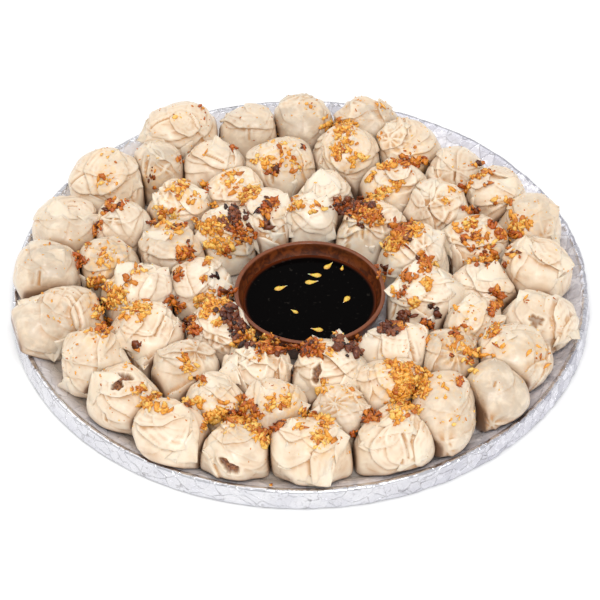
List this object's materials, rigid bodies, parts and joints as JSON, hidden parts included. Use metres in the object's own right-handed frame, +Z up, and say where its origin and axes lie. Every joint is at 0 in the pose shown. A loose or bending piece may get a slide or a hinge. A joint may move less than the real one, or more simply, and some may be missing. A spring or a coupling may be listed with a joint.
{
  "type": "platter of shumai",
  "caption": "Round foil-wrapped tray packed with steamed pork dumplings in rings round a small bowl of dark dipping sauce, topped with fried garlic.",
  "frame": {"origin": "on the resting surface, under the middle of the round tray", "axes": "+Z up; the viewer stands on the -Y side and +X is to the viewer's right"},
  "size_m": [0.34, 0.34, 0.0428],
  "materials": {
    "foil": "crumpled kitchen foil, bright",
    "bowl_glaze": "brown glaze, glossy",
    "sauce": "still dark liquid, mirror-smooth",
    "dumpling": "steamed wheat wrapper, moist",
    "garlic": "fried garlic, golden",
    "garlic_brown": "fried garlic, browned",
    "filling": "cooked minced pork",
    "chilli": "dried chilli skin in oil",
    "seed": "chilli seed, wet"
  },
  "bodies": {
    "root": {"tray": "foil", "dip_bowl": "bowl_glaze", "sauce": "sauce", "shumai_outer_01": "dumpling", "shumai_outer_02": "dumpling", "shumai_outer_03": "dumpling", "shumai_outer_04": "dumpling", "shumai_outer_05": "dumpling", "shumai_outer_06": "dumpling", "shumai_outer_07": "dumpling", "shumai_outer_08": "dumpling", "shumai_outer_09": "dumpling", "shumai_outer_10": "dumpling", "shumai_outer_11": "dumpling", "shumai_outer_12": "dumpling", "shumai_outer_13": "dumpling", "shumai_outer_14": "dumpling", "shumai_outer_15": "dumpling", "shumai_outer_16": "dumpling", "shumai_outer_17": "dumpling", "shumai_outer_18": "dumpling", "shumai_outer_19": "dumpling", "shumai_outer_20": "dumpling", "shumai_outer_21": "dumpling", "shumai_outer_22": "dumpling", "shumai_outer_23": "dumpling", "shumai_outer_24": "dumpling", "shumai_middle_01": "dumpling", "shumai_middle_02": "dumpling", "shumai_middle_03": "dumpling", "shumai_middle_04": "dumpling", "shumai_middle_05": "dumpling", "shumai_middle_06": "dumpling", "shumai_middle_07": "dumpling", "shumai_middle_08": "dumpling", "shumai_middle_09": "dumpling", "shumai_middle_10": "dumpling", "shumai_middle_11": "dumpling", "shumai_middle_12": "dumpling", "shumai_middle_13": "dumpling", "shumai_middle_14": "dumpling", "shumai_middle_15": "dumpling", "shumai_middle_16": "dumpling", "shumai_middle_17": "dumpling", "shumai_middle_18": "dumpling", "shumai_middle_19": "dumpling", "shumai_middle_20": "dumpling", "shumai_middle_21": "dumpling", "shumai_inner_01": "dumpling", "shumai_inner_02": "dumpling", "shumai_inner_03": "dumpling", "shumai_inner_04": "dumpling", "shumai_inner_05": "dumpling", "shumai_inner_06": "dumpling", "shumai_inner_07": "dumpling", "shumai_inner_08": "dumpling", "shumai_inner_09": "dumpling", "shumai_inner_10": "dumpling", "shumai_inner_11": "dumpling", "shumai_inner_12": "dumpling"}
  },
  "joints": []
}
